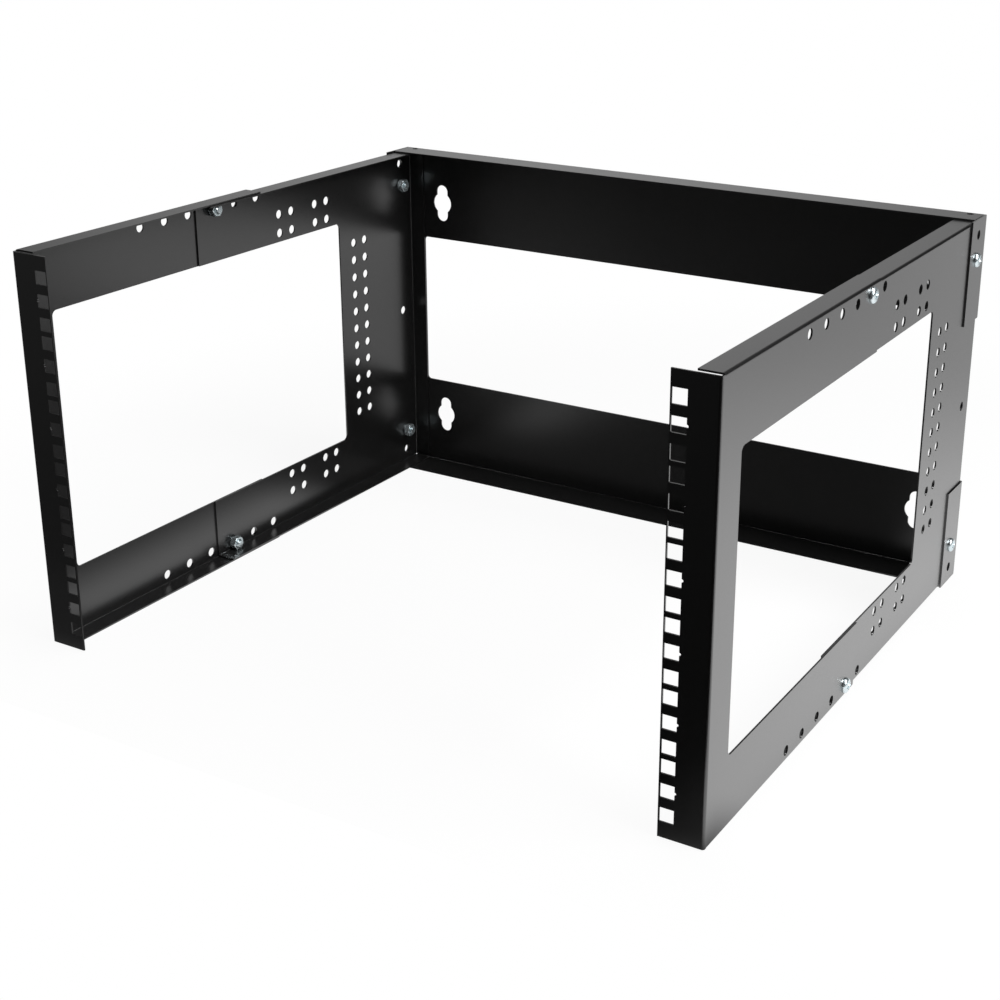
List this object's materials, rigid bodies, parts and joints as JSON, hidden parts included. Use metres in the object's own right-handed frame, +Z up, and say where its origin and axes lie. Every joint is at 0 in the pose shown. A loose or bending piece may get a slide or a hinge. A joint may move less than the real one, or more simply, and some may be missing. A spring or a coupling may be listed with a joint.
{
  "type": "wall mount rack bracket",
  "caption": "Open-frame wall rack for 19 inch equipment: folded black sheet steel, square-holed rails, depth set by bolts, back frame hung on keyholes",
  "frame": {"origin": "on the wall face, at the middle of the back frame's width and height", "axes": "+Y into the wall, so the rails face -Y; +X to the right seen from the front; +Z up"},
  "size_m": [0.5196, 0.45, 0.286],
  "materials": {
    "powder_coat": "satin black powder coat on sheet steel",
    "zinc": "bright zinc-plated steel"
  },
  "bodies": {
    "root": {"back_frame": "powder_coat", "front_side_left": "powder_coat", "front_side_right": "powder_coat", "rear_side_left": "powder_coat", "rear_side_right": "powder_coat", "screw_depth_left_top": "zinc", "screw_depth_left_bottom": "zinc", "screw_depth_right_top": "zinc", "screw_depth_right_bottom": "zinc", "screw_ear_left_top": "zinc", "screw_ear_left_bottom": "zinc", "screw_ear_right_top": "zinc", "screw_ear_right_bottom": "zinc", "washer_depth_left_top": "zinc", "washer_depth_left_bottom": "zinc", "washer_depth_right_top": "zinc", "washer_depth_right_bottom": "zinc", "washer_ear_left_top": "zinc", "washer_ear_left_bottom": "zinc", "washer_ear_right_top": "zinc", "washer_ear_right_bottom": "zinc", "nut_depth_left_top": "zinc", "nut_depth_left_bottom": "zinc", "nut_depth_right_top": "zinc", "nut_depth_right_bottom": "zinc", "nut_ear_left_top": "zinc", "nut_ear_left_bottom": "zinc", "nut_ear_right_top": "zinc", "nut_ear_right_bottom": "zinc"}
  },
  "joints": []
}
